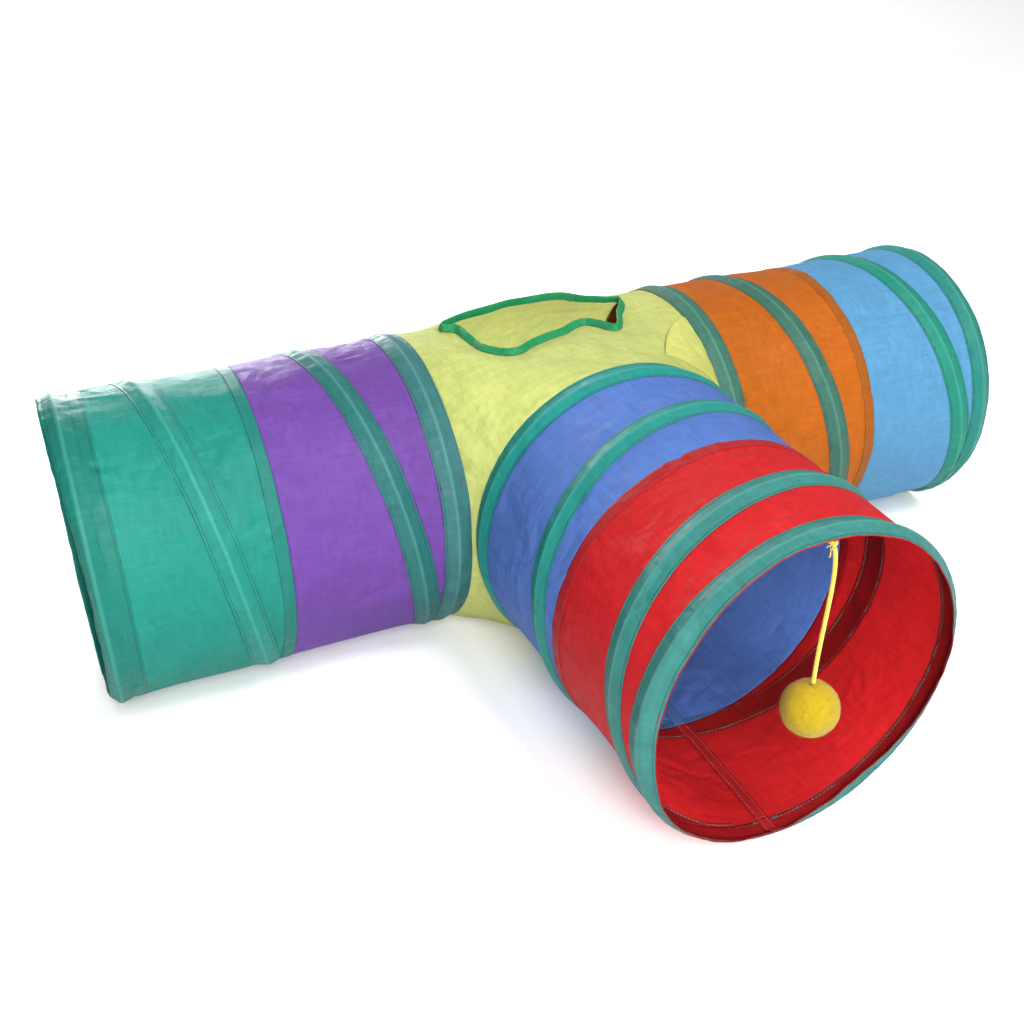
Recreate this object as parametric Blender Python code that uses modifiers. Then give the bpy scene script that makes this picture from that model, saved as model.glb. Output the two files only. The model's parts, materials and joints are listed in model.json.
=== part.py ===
"""Three-way pop-up agility tunnel for cats and small dogs: a T of cloth tubes held open by sprung wire.

Metres, +Z up. The origin is on the floor, under the point where the axes of the three arms meet.
The left arm runs along -X, the right arm along +X and the front arm along -Y. A station is a distance
from the origin along an arm's axis. An angle round an arm is measured from its top, clockwise to a
person who looks outward from the hub.
"""

import math

import bmesh
import bpy
from mathutils import Matrix, Vector
from mathutils.geometry import interpolate_bezier

# Driving dimensions
TUNNEL_RADIUS = 0.125  # to the outside of the ring tapes, which stand on the floor
CLOTH = 0.0006  # thickness of every cloth solid
GAP = 0.0003  # between neighbouring solids
TAPE_WIDTH = 0.022
TAPE_SLOPE = 0.0055  # the part of a tape's width that slopes down to its stitched edge
COIL_CREST = 0.004  # half the width of the coil tape's crest, which lies over the wire
WIRE_RADIUS = 0.0008
CRIMP_WALL = 0.0004
CRIMP_LENGTH = 0.016
COIL_TURNS = 2
SIDES = 32  # flats round every tube: one of them lies on the floor
WIRE_SIDES = 6

HOLE_CENTRE = (-0.006, -0.004)  # the peek hole, seen from above
HOLE_HALF_SIZE = (0.088, 0.052)
BINDING_WIDTH = 0.006
BINDING_DEPTH = 0.0015

KNOT_RADIUS = 0.0035
CORD_RADIUS = 0.0015
BALL_RADIUS = 0.0205
BALL_CENTRE_HEIGHT = 0.114
LURE_X = 0.0015
LURE_SETBACK = 0.005  # from the front mouth's cloth edge to the knot

# Worked out from them, going inwards through the layers
AXIS_HEIGHT = TUNNEL_RADIUS
CRIMP_HALF = WIRE_RADIUS + GAP + CRIMP_WALL
WIRE_LAP = 2 * WIRE_RADIUS + 2 * GAP  # between the centres of two wires in one crimp
WIRE_CIRCLE = TUNNEL_RADIUS - CLOTH - GAP - CRIMP_HALF
CLOTH_RADIUS = WIRE_CIRCLE - CRIMP_HALF - GAP
TAPE_EDGE_RADIUS = CLOTH_RADIUS + GAP + CLOTH
STEP = 2 * math.pi / SIDES
TO_CORNER = 1 / math.cos(STEP / 2)  # from the middle of a flat to the corners beside it

# Each arm's stations: its tape at the hub, the seam between its two panels, its tape, ring wire and
# cloth edge at the mouth. The coil leaves the hub ring at coil_start, in flats from the bottom.
ARMS = {
    "left": {
        "direction": (-1, 0, 0), "hub_tape": 0.1293, "seam": 0.2715, "rim_tape": 0.3877,
        "rim_ring": 0.4075, "mouth": 0.4189, "coil_start": 0, "panels": ("purple", "sea_green"),
    },
    "right": {
        "direction": (1, 0, 0), "hub_tape": 0.1111, "seam": 0.2650, "rim_tape": 0.3790,
        "rim_ring": 0.3900, "mouth": 0.4010, "coil_start": -2, "panels": ("orange", "light_blue"),
    },
    "front": {
        "direction": (0, -1, 0), "hub_tape": 0.1264, "seam": 0.2608, "rim_tape": 0.3722,
        "rim_ring": 0.3832, "mouth": 0.3942, "coil_start": -1, "panels": ("royal_blue", "red"),
    },
}
for arm in ARMS.values():
    arm["hub_tape_end"] = arm["hub_tape"] + TAPE_WIDTH
    arm["hub_ring"] = arm["hub_tape"] + TAPE_WIDTH / 2

# Colour, roughness and metallic value of each material
MATERIALS = {
    "sea_green": ((0.03, 0.38, 0.30), 0.45, 0.0),
    "purple": ((0.19, 0.07, 0.42), 0.45, 0.0),
    "orange": ((0.72, 0.15, 0.02), 0.45, 0.0),
    "light_blue": ((0.11, 0.38, 0.72), 0.45, 0.0),
    "royal_blue": ((0.06, 0.12, 0.50), 0.45, 0.0),
    "red": ((0.57, 0.01, 0.02), 0.45, 0.0),
    "lime": ((0.66, 0.77, 0.20), 0.45, 0.0),
    "teal_tape": ((0.05, 0.29, 0.23), 0.55, 0.0),
    "green_binding": ((0.02, 0.26, 0.09), 0.60, 0.0),
    "spring_steel": ((0.55, 0.56, 0.58), 0.30, 1.0),
    "yellow_cord": ((0.75, 0.60, 0.04), 0.80, 0.0),
    "yellow_felt": ((0.86, 0.62, 0.02), 0.95, 0.0),
}


# Scene and materials

def clear_scene():
    for obj in list(bpy.data.objects):
        bpy.data.objects.remove(obj)


def new_collection(name):
    collection = bpy.data.collections.new(name)
    bpy.context.scene.collection.children.link(collection)
    return collection


def make_material(name, colour, roughness, metallic):
    material = bpy.data.materials.new(name)
    material.use_nodes = True
    shader = material.node_tree.nodes["Principled BSDF"]
    shader.inputs["Base Color"].default_value = (*colour, 1)
    shader.inputs["Roughness"].default_value = roughness
    shader.inputs["Metallic"].default_value = metallic
    return material


clear_scene()
parts = new_collection("agility_tunnel")
cutters = new_collection("cutters")
materials = {name: make_material(name, *look) for name, look in MATERIALS.items()}


def add_object(name, data, material=None, parent=None, location=(0, 0, 0), collection=parts):
    obj = bpy.data.objects.new(name, data)
    collection.objects.link(obj)
    obj.parent = parent
    obj.location = location
    if material:
        data.materials.append(materials[material])
    return obj


def add_empty(name, parent=None, matrix=None, location=(0, 0, 0)):
    empty = add_object(name, None, parent=parent, location=location)
    if matrix:
        empty.matrix_world = matrix
    return empty


def to_mesh(name, bm):
    mesh = bpy.data.meshes.new(name)
    bm.to_mesh(mesh)
    bm.free()
    return mesh


# Shapes. Tubes lie along +X, with a flat at the top, at the bottom and at each side.

def point_at(station, radius, angle):
    """The radius is to the middle of a flat, and the angle is that of a corner."""
    corner = radius * TO_CORNER
    return Vector((station, -corner * math.sin(angle), corner * math.cos(angle)))


def add_turned_cloth(name, profile, material, parent):
    """A tube of cloth: an open profile of (station, outer radius), turned about X and thickened inwards.

    The profile runs back along the axis, so that the turned faces point outwards.
    """
    bm = bmesh.new()
    points = [bm.verts.new(point_at(station, radius, STEP / 2)) for station, radius in reversed(profile)]
    for pair in zip(points, points[1:]):
        bm.edges.new(pair)
    obj = add_object(name, to_mesh(name, bm), material, parent)
    screw = obj.modifiers.new("turn", "SCREW")
    screw.axis = "X"
    screw.steps = screw.render_steps = SIDES
    screw.merge_threshold = 1e-5
    screw.use_merge_vertices = True
    screw.use_smooth_shade = False
    thicken(obj)
    return obj


def thicken(obj):
    solidify = obj.modifiers.new("cloth", "SOLIDIFY")
    solidify.thickness = CLOTH
    solidify.offset = -1
    solidify.use_even_offset = True


def round_bar(name, radius, start, end, matrix=None):
    """A solid bar along X with the same flats as the tubes, as a mesh."""
    bm = bmesh.new()
    along_x = Matrix.Rotation(math.pi / 2, 4, "Y") @ Matrix.Rotation(STEP / 2, 4, "Z")
    bmesh.ops.create_cone(
        bm, cap_ends=True, segments=SIDES, radius1=radius * TO_CORNER, radius2=radius * TO_CORNER,
        depth=end - start, matrix=Matrix.Translation(((start + end) / 2, 0, 0)) @ along_x,
    )
    if matrix:
        bm.transform(matrix)
    return to_mesh(name, bm)


def add_boolean(obj, operation, other):
    boolean = obj.modifiers.new(operation.lower(), "BOOLEAN")
    boolean.operation = operation
    boolean.object = other
    boolean.solver = "EXACT"


def add_cutter(name, mesh, parent=None):
    obj = add_object(name, mesh, parent=parent, collection=cutters)
    obj.hide_render = True
    obj.display_type = "WIRE"
    return obj


# The hub: cloth stretched over three rings, with a bound peek hole in its top

def arm_matrix(direction):
    """From an arm's own axes, +X outward, to the world."""
    outward, up = Vector(direction), Vector((0, 0, 1))
    turn = Matrix((outward, up.cross(outward), up)).transposed()
    return Matrix.Translation((0, 0, AXIS_HEIGHT)) @ turn.to_4x4()


def hub_form(name, radius):
    """The convex hull of the three rings: the form that taut cloth takes between them.

    The front ring reaches further along +X than the right ring stands, so the hull is trimmed there.
    """
    bm = bmesh.new()
    for arm in ARMS.values():
        place = arm_matrix(arm["direction"])
        for index in range(SIDES):
            station = arm["hub_tape"] - GAP - (TUNNEL_RADIUS - radius)
            bm.verts.new(place @ point_at(station, radius, (index + 0.5) * STEP))
    hull = bmesh.ops.convex_hull(bm, input=bm.verts)
    spare = [part for part in hull["geom_interior"] if isinstance(part, bmesh.types.BMVert)]
    bmesh.ops.delete(bm, geom=spare, context="VERTS")
    form = add_cutter(name, to_mesh(name, bm))
    add_boolean(form, "INTERSECT", right_trim(f"{name}_trim", TUNNEL_RADIUS - radius))
    return form


def right_trim(name, inset):
    """A block that ends at the hub's right border."""
    bm = bmesh.new()
    bmesh.ops.create_cube(bm, size=4 * TUNNEL_RADIUS)
    border = ARMS["right"]["hub_tape"] - GAP - inset
    bmesh.ops.translate(bm, vec=(border - 2 * TUNNEL_RADIUS, 0, AXIS_HEIGHT), verts=bm.verts)
    return add_cutter(name, to_mesh(name, bm))


def cut_inside(obj, name, radius):
    """Hollows the hub to that radius and opens it at the rings.

    The bars are a little narrower than the form, because cutters that share faces leave gaps in a wall.
    """
    add_boolean(obj, "DIFFERENCE", hub_form(name, radius))
    left, right, front = (ARMS[side]["hub_tape"] + TAPE_WIDTH for side in ("left", "right", "front"))
    sideways = arm_matrix(ARMS["right"]["direction"])
    ahead = arm_matrix(ARMS["front"]["direction"])
    bar_radius = radius - GAP
    main = add_cutter(f"{name}_main", round_bar(name, bar_radius, -left, right, sideways))
    branch = add_cutter(f"{name}_branch", round_bar(name, bar_radius, 0, front, ahead))
    add_boolean(branch, "INTERSECT", right_trim(f"{name}_branch_trim", TUNNEL_RADIUS - bar_radius))
    add_boolean(obj, "DIFFERENCE", main)
    add_boolean(obj, "DIFFERENCE", branch)


def hole_cutter(name, inset):
    bm = bmesh.new()
    bmesh.ops.create_cone(
        bm, cap_ends=True, segments=SIDES, radius1=1, radius2=1, depth=AXIS_HEIGHT,
    )
    width, length = (half - inset for half in HOLE_HALF_SIZE)
    bmesh.ops.scale(bm, vec=(width, length, 1), verts=bm.verts)
    bmesh.ops.translate(bm, vec=(*HOLE_CENTRE, 2 * AXIS_HEIGHT), verts=bm.verts)
    return add_cutter(name, to_mesh(name, bm))


def add_hub():
    outside = hub_form("hub_outside", TUNNEL_RADIUS)
    cover = add_object("hub_cover", outside.data.copy(), "lime")
    add_boolean(cover, "INTERSECT", right_trim("hub_trim", 0))
    cut_inside(cover, "hub_inside", TUNNEL_RADIUS - CLOTH)
    add_boolean(cover, "DIFFERENCE", hole_cutter("peek_hole", 0))

    binding = add_object("peek_hole_binding", outside.data.copy(), "green_binding")
    cut_inside(binding, "binding_inside", TUNNEL_RADIUS - BINDING_DEPTH)
    add_boolean(binding, "INTERSECT", hole_cutter("binding_outside", GAP))
    add_boolean(binding, "DIFFERENCE", hole_cutter("binding_hole", BINDING_WIDTH))


# An arm: two cloth panels, and a wire that runs as a ring, a coil and a ring, each in its tape

def add_panels(name, arm, fixed, sliding):
    inner_colour, outer_colour = arm["panels"]
    inner = [(arm["hub_tape"] + GAP, CLOTH_RADIUS), (arm["seam"] - GAP / 2, CLOTH_RADIUS)]
    outer = [(arm["seam"] + GAP / 2, CLOTH_RADIUS), (arm["mouth"], CLOTH_RADIUS)]
    add_turned_cloth(f"{name}_inner_panel", inner, inner_colour, fixed)
    add_turned_cloth(f"{name}_outer_panel", from_ring(arm, outer), outer_colour, sliding)


def from_ring(arm, profile):
    return [(station - arm["rim_ring"], radius) for station, radius in profile]


def add_ring_tapes(name, arm, fixed, sliding):
    """Each ring tape slopes down on the side that is away from the coil."""
    hub = [
        (arm["hub_tape"], TAPE_EDGE_RADIUS),
        (arm["hub_tape"] + TAPE_SLOPE, TUNNEL_RADIUS),
        (arm["hub_tape_end"], TUNNEL_RADIUS),
    ]
    rim = [
        (arm["rim_tape"], TUNNEL_RADIUS),
        (arm["mouth"] - TAPE_SLOPE, TUNNEL_RADIUS),
        (arm["mouth"], TAPE_EDGE_RADIUS),
    ]
    add_turned_cloth(f"{name}_hub_tape", hub, "teal_tape", fixed)
    add_turned_cloth(f"{name}_rim_tape", from_ring(arm, rim), "teal_tape", sliding)


def add_ring_wire(name, station, parent):
    bpy.ops.mesh.primitive_torus_add(
        major_segments=SIDES, minor_segments=WIRE_SIDES,
        major_radius=WIRE_CIRCLE * TO_CORNER, minor_radius=WIRE_RADIUS,
    )
    made = bpy.context.object
    mesh = made.data
    bpy.data.objects.remove(made)
    mesh.name = name
    mesh.transform(Matrix.Rotation(math.pi / 2, 4, "Y") @ Matrix.Rotation(STEP / 2, 4, "Z"))
    mesh.shade_smooth()
    add_object(name, mesh, "spring_steel", parent, (station, 0, 0))


def coil_corner(arm, index):
    """(station, angle) of the coil at one corner. Its first and last flats lie along the ring wires."""
    last = COIL_TURNS * SIDES
    share = min(max((index - 1) / (last - 2), 0), 1)
    start, end = arm["hub_ring"] + WIRE_LAP, arm["rim_ring"] - WIRE_LAP
    angle = math.pi + (arm["coil_start"] - 0.5 + index) * STEP
    return start + share * (end - start), angle


def add_coil_wire(name, arm, parent):
    curve = bpy.data.curves.new(name, "CURVE")
    curve.dimensions = "3D"
    curve.bevel_depth = WIRE_RADIUS
    curve.bevel_resolution = 1
    curve.use_fill_caps = True
    spline = curve.splines.new("POLY")
    spline.points.add(COIL_TURNS * SIDES)
    for index, point in enumerate(spline.points):
        station, angle = coil_corner(arm, index)
        point.co = (*point_at(station, WIRE_CIRCLE, angle), 1)
    add_object(name, curve, "spring_steel", parent)


def add_coil_tape(name, arm, parent):
    """A ribbon over the coil wire, trimmed where it runs into the ring tapes."""
    half, shortest = TAPE_WIDTH / 2, 0.002
    section = [
        (-half, TAPE_EDGE_RADIUS), (-COIL_CREST, TUNNEL_RADIUS),
        (COIL_CREST, TUNNEL_RADIUS), (half, TAPE_EDGE_RADIUS),
    ]
    low, high = arm["hub_tape_end"] + GAP, arm["rim_tape"] - GAP
    bm = bmesh.new()
    rows = []
    for index in range(COIL_TURNS * SIDES + 1):
        station, angle = coil_corner(arm, index)
        if low - half + shortest < station < high + half - shortest:
            rows.append([bm.verts.new(point_at(station + x, r, angle)) for x, r in section])
    for row, next_row in zip(rows, rows[1:]):
        for corners in zip(row, next_row, next_row[1:], row[1:]):
            bm.faces.new(corners)
    obj = add_object(name, to_mesh(name, bm), "teal_tape", parent)
    thicken(obj)
    between_rings = round_bar(f"{name}_trim", TUNNEL_RADIUS + GAP, low, high)
    add_boolean(obj, "INTERSECT", add_cutter(f"{name}_trim", between_rings, parent))


def rounded_outline(curve, width, height):
    """Adds a closed outline with cut corners, centred on the curve's origin."""
    cut = height / 4
    x, y = width / 2, height / 2
    corners = [
        (x, y - cut), (x - cut, y), (cut - x, y), (-x, y - cut),
        (-x, cut - y), (cut - x, -y), (x - cut, -y), (x, cut - y),
    ]
    spline = curve.splines.new("POLY")
    spline.points.add(len(corners) - 1)
    for point, corner in zip(spline.points, corners):
        point.co = (*corner, 0, 1)
    spline.use_cyclic_u = True


def add_crimp(name, station, angle, parent):
    """A flat sleeve round two wires that lie side by side, along one flat of the ring."""
    curve = bpy.data.curves.new(name, "CURVE")
    curve.dimensions = "2D"
    curve.fill_mode = "BOTH"
    curve.extrude = CRIMP_LENGTH / 2
    bore = 2 * (WIRE_RADIUS + GAP)
    rounded_outline(curve, WIRE_LAP + bore + 2 * CRIMP_WALL, bore + 2 * CRIMP_WALL)
    rounded_outline(curve, WIRE_LAP + bore, bore)
    obj = add_object(name, curve, "spring_steel", parent)
    across = Vector((1, 0, 0))
    radial = Vector((0, -math.sin(angle), math.cos(angle)))
    turn = Matrix((across, radial, across.cross(radial))).transposed()
    place = Vector((station, 0, 0)) + WIRE_CIRCLE * radial
    obj.matrix_local = Matrix.Translation(place) @ turn.to_4x4()


def add_arm(name, arm):
    fixed = add_empty(f"{name}_arm_axis", matrix=arm_matrix(arm["direction"]))
    sliding = add_empty(f"{name}_collapse_axis", parent=fixed, location=(arm["rim_ring"], 0, 0))
    add_panels(name, arm, fixed, sliding)
    add_ring_tapes(name, arm, fixed, sliding)
    add_ring_wire(f"{name}_hub_ring", arm["hub_ring"], fixed)
    add_ring_wire(f"{name}_rim_ring", 0, sliding)
    add_coil_wire(f"{name}_coil", arm, fixed)
    add_coil_tape(f"{name}_coil_tape", arm, fixed)
    first = math.pi + arm["coil_start"] * STEP
    last = first + (COIL_TURNS * SIDES - 1) * STEP
    add_crimp(f"{name}_hub_crimp", arm["hub_ring"] + WIRE_LAP / 2, first, fixed)
    add_crimp(f"{name}_rim_crimp", -WIRE_LAP / 2, last, sliding)


# The lure: a felt ball on a cord that hangs from the top of the front mouth

def add_ball(name, radius, rows, material, parent, location=(0, 0, 0)):
    bm = bmesh.new()
    bmesh.ops.create_uvsphere(bm, u_segments=2 * rows, v_segments=rows, radius=radius)
    mesh = to_mesh(name, bm)
    mesh.shade_smooth()
    add_object(name, mesh, material, parent, location)


def add_lure():
    knot_height = AXIS_HEIGHT + CLOTH_RADIUS - CLOTH - GAP - KNOT_RADIUS * TO_CORNER
    knot = Vector((LURE_X, LURE_SETBACK - ARMS["front"]["mouth"], knot_height))
    pivot = add_empty("lure_swing_axis", location=knot)
    add_ball("lure_knot", KNOT_RADIUS, 6, "yellow_cord", pivot)
    drop = knot.z - BALL_CENTRE_HEIGHT
    add_ball("lure_ball", BALL_RADIUS, 12, "yellow_felt", pivot, (0, 0, -drop))

    curve = bpy.data.curves.new("lure_cord", "CURVE")
    curve.dimensions = "3D"
    curve.bevel_depth = CORD_RADIUS
    curve.bevel_resolution = 2
    curve.use_fill_caps = True
    way_out = Vector((0.25, -0.1, -0.96)).normalized()  # the cord leaves the knot a little to one side
    top = (KNOT_RADIUS + GAP) * way_out
    bottom = Vector((0, 0, BALL_RADIUS + GAP - drop))
    route = interpolate_bezier(top, top + 0.02 * way_out, bottom + Vector((0, 0, 0.045)), bottom, 24)
    spline = curve.splines.new("POLY")
    spline.points.add(len(route) - 1)
    for point, place in zip(spline.points, route):
        point.co = (*place, 1)
    add_object("lure_cord", curve, "yellow_cord", pivot)


add_hub()
for arm_name, arm in ARMS.items():
    add_arm(arm_name, arm)
add_lure()
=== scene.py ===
import json
import math

import bmesh
import bpy
import numpy as np
from mathutils import Matrix, Vector
from mathutils.bvhtree import BVHTree


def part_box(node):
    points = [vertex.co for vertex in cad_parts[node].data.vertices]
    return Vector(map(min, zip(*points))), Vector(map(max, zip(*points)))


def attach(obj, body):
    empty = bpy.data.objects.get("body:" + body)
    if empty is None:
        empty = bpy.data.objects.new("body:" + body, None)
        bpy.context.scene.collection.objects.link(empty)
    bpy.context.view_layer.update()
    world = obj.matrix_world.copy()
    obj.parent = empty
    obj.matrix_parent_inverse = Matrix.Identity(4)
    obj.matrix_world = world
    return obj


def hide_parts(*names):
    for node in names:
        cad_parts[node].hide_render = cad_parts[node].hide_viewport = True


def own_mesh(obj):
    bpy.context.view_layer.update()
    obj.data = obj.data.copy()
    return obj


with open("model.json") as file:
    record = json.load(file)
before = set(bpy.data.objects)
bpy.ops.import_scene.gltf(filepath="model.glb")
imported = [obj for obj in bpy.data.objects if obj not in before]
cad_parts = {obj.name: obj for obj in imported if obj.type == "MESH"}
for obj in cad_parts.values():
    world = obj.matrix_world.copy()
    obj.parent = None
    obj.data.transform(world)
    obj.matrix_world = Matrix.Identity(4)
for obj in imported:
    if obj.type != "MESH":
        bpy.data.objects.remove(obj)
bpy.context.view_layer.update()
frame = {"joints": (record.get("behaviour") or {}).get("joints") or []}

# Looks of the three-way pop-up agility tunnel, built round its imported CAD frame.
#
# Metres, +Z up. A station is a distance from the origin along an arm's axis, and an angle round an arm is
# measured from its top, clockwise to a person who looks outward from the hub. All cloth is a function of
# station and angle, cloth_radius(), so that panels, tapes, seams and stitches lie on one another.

TURN = 2 * math.pi
DIRECTIONS = {"left": (-1, 0, 0), "right": (1, 0, 0), "front": (0, -1, 0)}
PANELS = {  # the colours of each arm's inner and outer panel
    "left": ("purple", "sea_green"), "right": ("orange", "light_blue"), "front": ("royal_blue", "red"),
}
SEAM_SIDE = {"left": 1, "right": -1, "front": 1}  # +1: the felled seam lies on the outer panel

# Cloth and sewing
CLOTH = 0.0003  # thickness
LAYER = 0.0004  # from one layer's surface to the next one's
CLOTH_RADIUS = 0.1224
TAPE_HALF = 0.011
RIDGE = 0.0021  # how far the wire lifts the middle of a tape
RIDGE_HALF = 0.0088
WIRE_RADIUS = 0.0008
WIRE_CIRCLE = 0.1236
WIRE_LAP = 0.0022  # between the centres of two wires in one crimp
CRIMP_LENGTH = 0.016
SAG = 0.0016  # of the cloth between two wires that stand SAG_SPAN apart
SAG_SPAN = 0.134
STITCH_PITCH = 0.0034
STITCH_LENGTH = 0.0028
STITCH_RADIUS = 0.0004
STITCH_GROOVE = 0.00035
STITCH_INSET = 0.0019  # of a tape's stitches from its border
SEAM_WIDTH = 0.010
LONG_SEAM_ANGLE = {"left": 3.0, "right": 3.3, "front": 3.05}

# How each ring stands off its CAD place, in metres, at the hub and at the rim. shift: along the arm, lean:
# its top, swing: its side at +90 degrees; wide, skew and tall: how its circle is pushed out of round.
SLACK = {
    "left": {"shift": (0.002, -0.0025), "lean": (-0.002, 0), "swing": (0.004, -0.0015),
             "wide": (0.001, 0.0005), "skew": (0.001, 0), "tall": (0, 0)},
    "right": {"shift": (0.0005, -0.002), "lean": (-0.0005, -0.001), "swing": (-0.0005, -0.0005),
              "wide": (0.0005, 0), "skew": (-0.001, -0.001), "tall": (0.0005, 0)},
    "front": {"shift": (-0.0005, -0.0015), "lean": (-0.001, 0), "swing": (-0.0005, 0.0015),
              "wide": (0, 0.001), "skew": (-0.001, 0), "tall": (0.0035, -0.0015)},
}
# How far the hem past each rim ring folds in, in degrees, every 30 degrees round from the top
HEM_FOLDS = {
    "left": (10, 10, 14, 16, 14, 10, 12, 24, 38, 46, 38, 22),
    "right": (6, 10, 12, 14, 12, 10, 10, 14, 16, 14, 10, 8),
    "front": (0, -8, 38, 46, 14, 24, 44, 64, 50, 36, 30, 14),
}
RUFFLE = {"left": 1.0, "right": 0.25, "front": 0.4}  # how much each hem waves
MOUTH_SLANT = {"left": 0.004, "right": 0, "front": 0}  # the hem is longer by this at +90 degrees

# The coil, as in the CAD: flats round the tube, turns, and the flat that the coil starts at
FLATS = 32
COIL_TURNS = 2
COIL_START = {"left": 0, "right": -2, "front": -1}
# How far the coil stands off an even pitch, in metres, every quarter of a turn from its start
COIL_DRIFT = {
    "left": (0, 0, 0.0015, 0, 0, 0, 0.001, 0, 0),
    "right": (0, -0.0025, -0.005, -0.005, -0.005, -0.005, -0.006, -0.004, 0),
    "front": (0, 0.003, 0.006, 0.0045, 0.001, 0, -0.003, -0.0105, 0),
}

# Mesh grids
ROUND_STEPS = 380
ALONG_STEP = 0.0021


# Arrays

def layers(*parts):
    """The parts side by side along a new last axis."""
    return np.stack(np.broadcast_arrays(*parts), axis=-1)


def unit(vectors):
    return vectors / np.linalg.norm(vectors, axis=-1, keepdims=True)


def on_circle(angle):
    """Points on the cloth's circle, for noise that has no step where a turn closes."""
    return layers(np.cos(angle), np.sin(angle), 0) * CLOTH_RADIUS


def smooth_curve(a, b, c, d, t):
    """A Catmull-Rom curve, from b at t = 0 to c at t = 1."""
    square, cube = 2 * a - 5 * b + 4 * c - d, 3 * b - a - 3 * c + d
    return 0.5 * (2 * b + (c - a) * t + square * t ** 2 + cube * t ** 3)


def grid_quads(rows, columns, round_rows=False, round_columns=False):
    """The quads of a grid of points, rows by columns by 4. A round grid closes on itself."""
    index = np.arange(rows * columns).reshape(rows, columns)
    if round_rows:
        index = np.concatenate((index, index[:1]))
    if round_columns:
        index = np.concatenate((index, index[:, :1]), axis=1)
    return layers(index[:-1, :-1], index[1:, :-1], index[1:, 1:], index[:-1, 1:])


# Arms

def read_arm(name):
    """The arm's stations, measured on its CAD nodes, and its frame."""
    axis = Vector(DIRECTIONS[name])

    def span(node):
        return sorted(corner.dot(axis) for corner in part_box(f"{name}_{node}"))

    arm = {"name": name}
    arm["hub_tape"], arm["hub_tape_end"] = span("hub_tape")
    arm["rim_tape"], arm["mouth"] = span("rim_tape")
    arm["seam"] = span("outer_panel")[0]
    arm["hub_ring"] = sum(span("hub_ring")) / 2
    arm["rim_ring"] = sum(span("rim_ring")) / 2
    bottom, top = (corner.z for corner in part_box(f"{name}_hub_tape"))
    up = Vector((0, 0, 1))
    turn = Matrix((axis, up.cross(axis), up)).transposed()
    arm["turn"] = np.array(turn)
    arm["centre"] = np.array((0, 0, (bottom + top) / 2))
    step = TURN / FLATS
    arm["coil_angle"] = math.pi + (COIL_START[name] - 0.5) * step
    arm["travel"] = next(j["range_m"][1] for j in frame["joints"] if j["name"] == f"{name}_collapse")
    arm["keep"] = 1 - arm["travel"] / (arm["rim_tape"] - arm["hub_tape_end"])
    arm["axis"] = axis
    return arm


def hem_fold(arm, angle):
    """The angle in radians by which the hem folds in, on a smooth curve through the arm's HEM_FOLDS."""
    folds = np.radians(HEM_FOLDS[arm["name"]])
    turns = np.mod(angle, TURN) / TURN * len(folds)
    start = np.floor(turns).astype(int)
    a, b, c, d = (folds[(start + k) % len(folds)] for k in (-1, 0, 1, 2))
    return smooth_curve(a, b, c, d, turns - start)


def place(arm, station, radius, angle):
    """Points in the row frame, as an array with x, y, z last, with the arm's slack and its folded hem."""
    station, radius, angle = np.broadcast_arrays(station, radius, angle)
    past = np.maximum(station - arm["rim_ring"], 0)
    around = on_circle(angle)
    ruffle = 0.16 * smooth_noise(around, 0.02, 31) + 0.08 * smooth_noise(around, 0.0075, 32)
    fold = (hem_fold(arm, angle) + RUFFLE[arm["name"]] * ruffle) * np.clip(past / 0.004, 0, 1)
    off = radius - CLOTH_RADIUS
    station = station - past * (1 - np.cos(fold)) + off * np.sin(fold)
    radius = radius - past * np.sin(fold) - off * (1 - np.cos(fold))
    share = np.clip((station - arm["hub_ring"]) / (arm["rim_ring"] - arm["hub_ring"]), -0.1, 1.1)
    slack = {key: hub + share * (rim - hub) for key, (hub, rim) in SLACK[arm["name"]].items()}
    station = station + slack["shift"] + slack["lean"] * np.cos(angle) + slack["swing"] * np.sin(angle)
    radius = radius + slack["wide"] * np.sin(angle) ** 2 + slack["skew"] * np.sin(2 * angle)
    radius = radius + slack["tall"] * (1 + np.cos(angle)) / 2
    local = layers(station, -radius * np.sin(angle), radius * np.cos(angle))
    return local @ arm["turn"].T + arm["centre"]


def coil_station(arm, turned):
    """The coil's station after it has turned that far from its start."""
    step = TURN / FLATS
    share = np.clip((turned - step) / (COIL_TURNS * TURN - 2 * step), 0, 1)
    start, end = arm["hub_ring"] + WIRE_LAP, arm["rim_ring"] - WIRE_LAP
    drift = np.array(COIL_DRIFT[arm["name"]])
    quarters = np.clip(turned / TURN * 4, 0, len(drift) - 1)
    knot = np.minimum(np.floor(quarters).astype(int), len(drift) - 2)
    a, b, c, d = (drift[np.clip(knot + k, 0, len(drift) - 1)] for k in (-1, 0, 1, 2))
    return start + share * (end - start) + smooth_curve(a, b, c, d, quarters - knot)


def wires_at(arm, angle):
    """The stations of the four wires that cross the line at that angle, from hub to mouth."""
    turned = np.mod(angle - arm["coil_angle"], TURN)
    passes = [coil_station(arm, turned + k * TURN) for k in range(COIL_TURNS)]
    ends = np.ones_like(turned)
    return [arm["hub_ring"] * ends, *passes, arm["rim_ring"] * ends]


# Noise and creases, all from fixed seeds

def smooth_noise(points, size, seed):
    """Value noise from -1 to 1 whose features are about that size."""
    table = np.random.default_rng(seed).uniform(-1, 1, 4096)
    scaled = np.asarray(points, float) / size
    cell = np.floor(scaled).astype(np.int64)
    part = scaled - cell
    part = part * part * (3 - 2 * part)
    total = 0
    for corner in np.ndindex(2, 2, 2):
        at = cell + corner
        index = (at[..., 0] * 73856093 ^ at[..., 1] * 19349663 ^ at[..., 2] * 83492791) % 4096
        share = np.where(corner, part, 1 - part).prod(axis=-1)
        total = total + share * table[index]
    return total


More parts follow.
